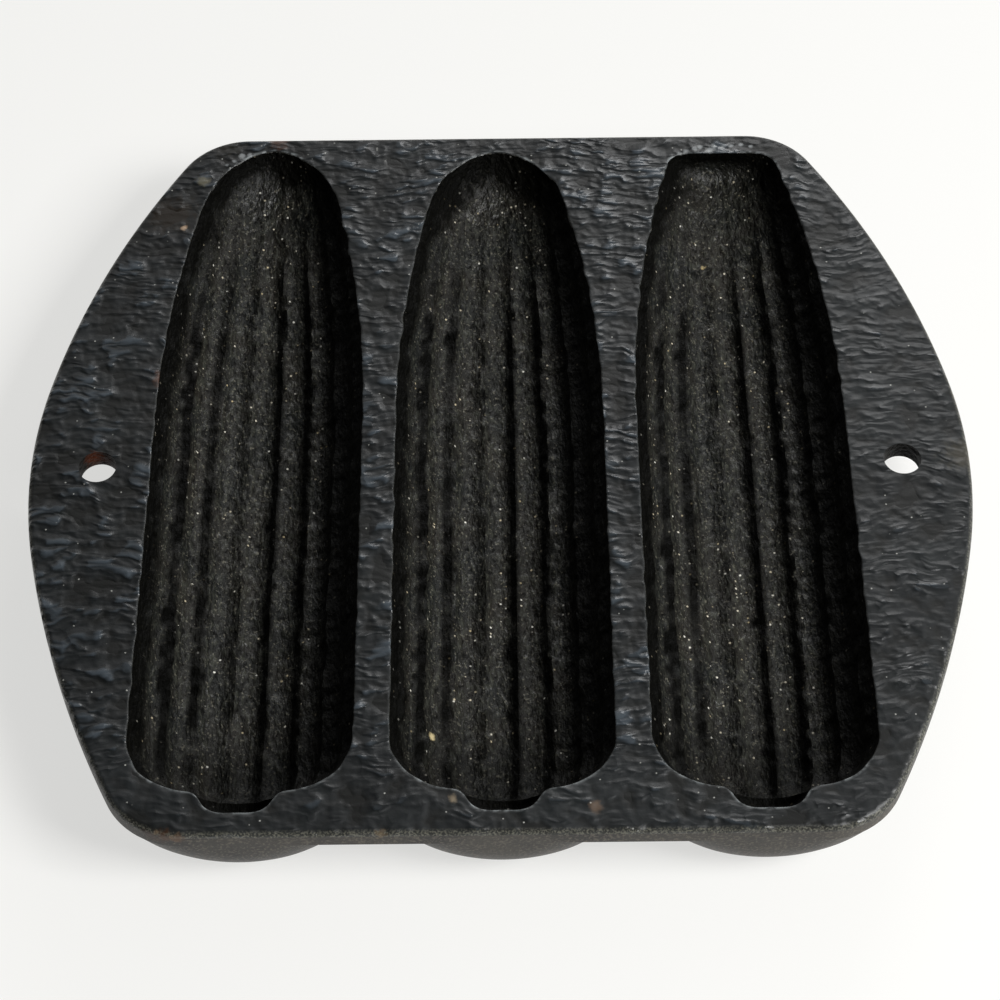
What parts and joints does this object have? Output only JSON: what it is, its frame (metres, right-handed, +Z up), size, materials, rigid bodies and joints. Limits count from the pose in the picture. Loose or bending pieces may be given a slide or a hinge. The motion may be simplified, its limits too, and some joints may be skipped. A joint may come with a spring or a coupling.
{
  "type": "corn stick pan",
  "caption": "Cast iron baking pan: cob-shaped moulds with kernel rows side by side in a thick plate, with a hanging hole in each rounded end.",
  "frame": {"origin": "centre of the pan in plan, on the flats under the moulds that it stands on", "axes": "+X to the right along the row of moulds, +Y from the stalk ends to the tips, +Z up"},
  "size_m": [0.16, 0.1486, 0.0163],
  "materials": {
    "seasoned_cast_iron": "sand-cast, oil-seasoned, satin and nearly black"
  },
  "bodies": {
    "root": {"deck_plate": "seasoned_cast_iron", "left_handle_end": "seasoned_cast_iron", "right_handle_end": "seasoned_cast_iron", "left_cob_mould": "seasoned_cast_iron", "middle_cob_mould": "seasoned_cast_iron", "right_cob_mould": "seasoned_cast_iron"}
  },
  "joints": []
}
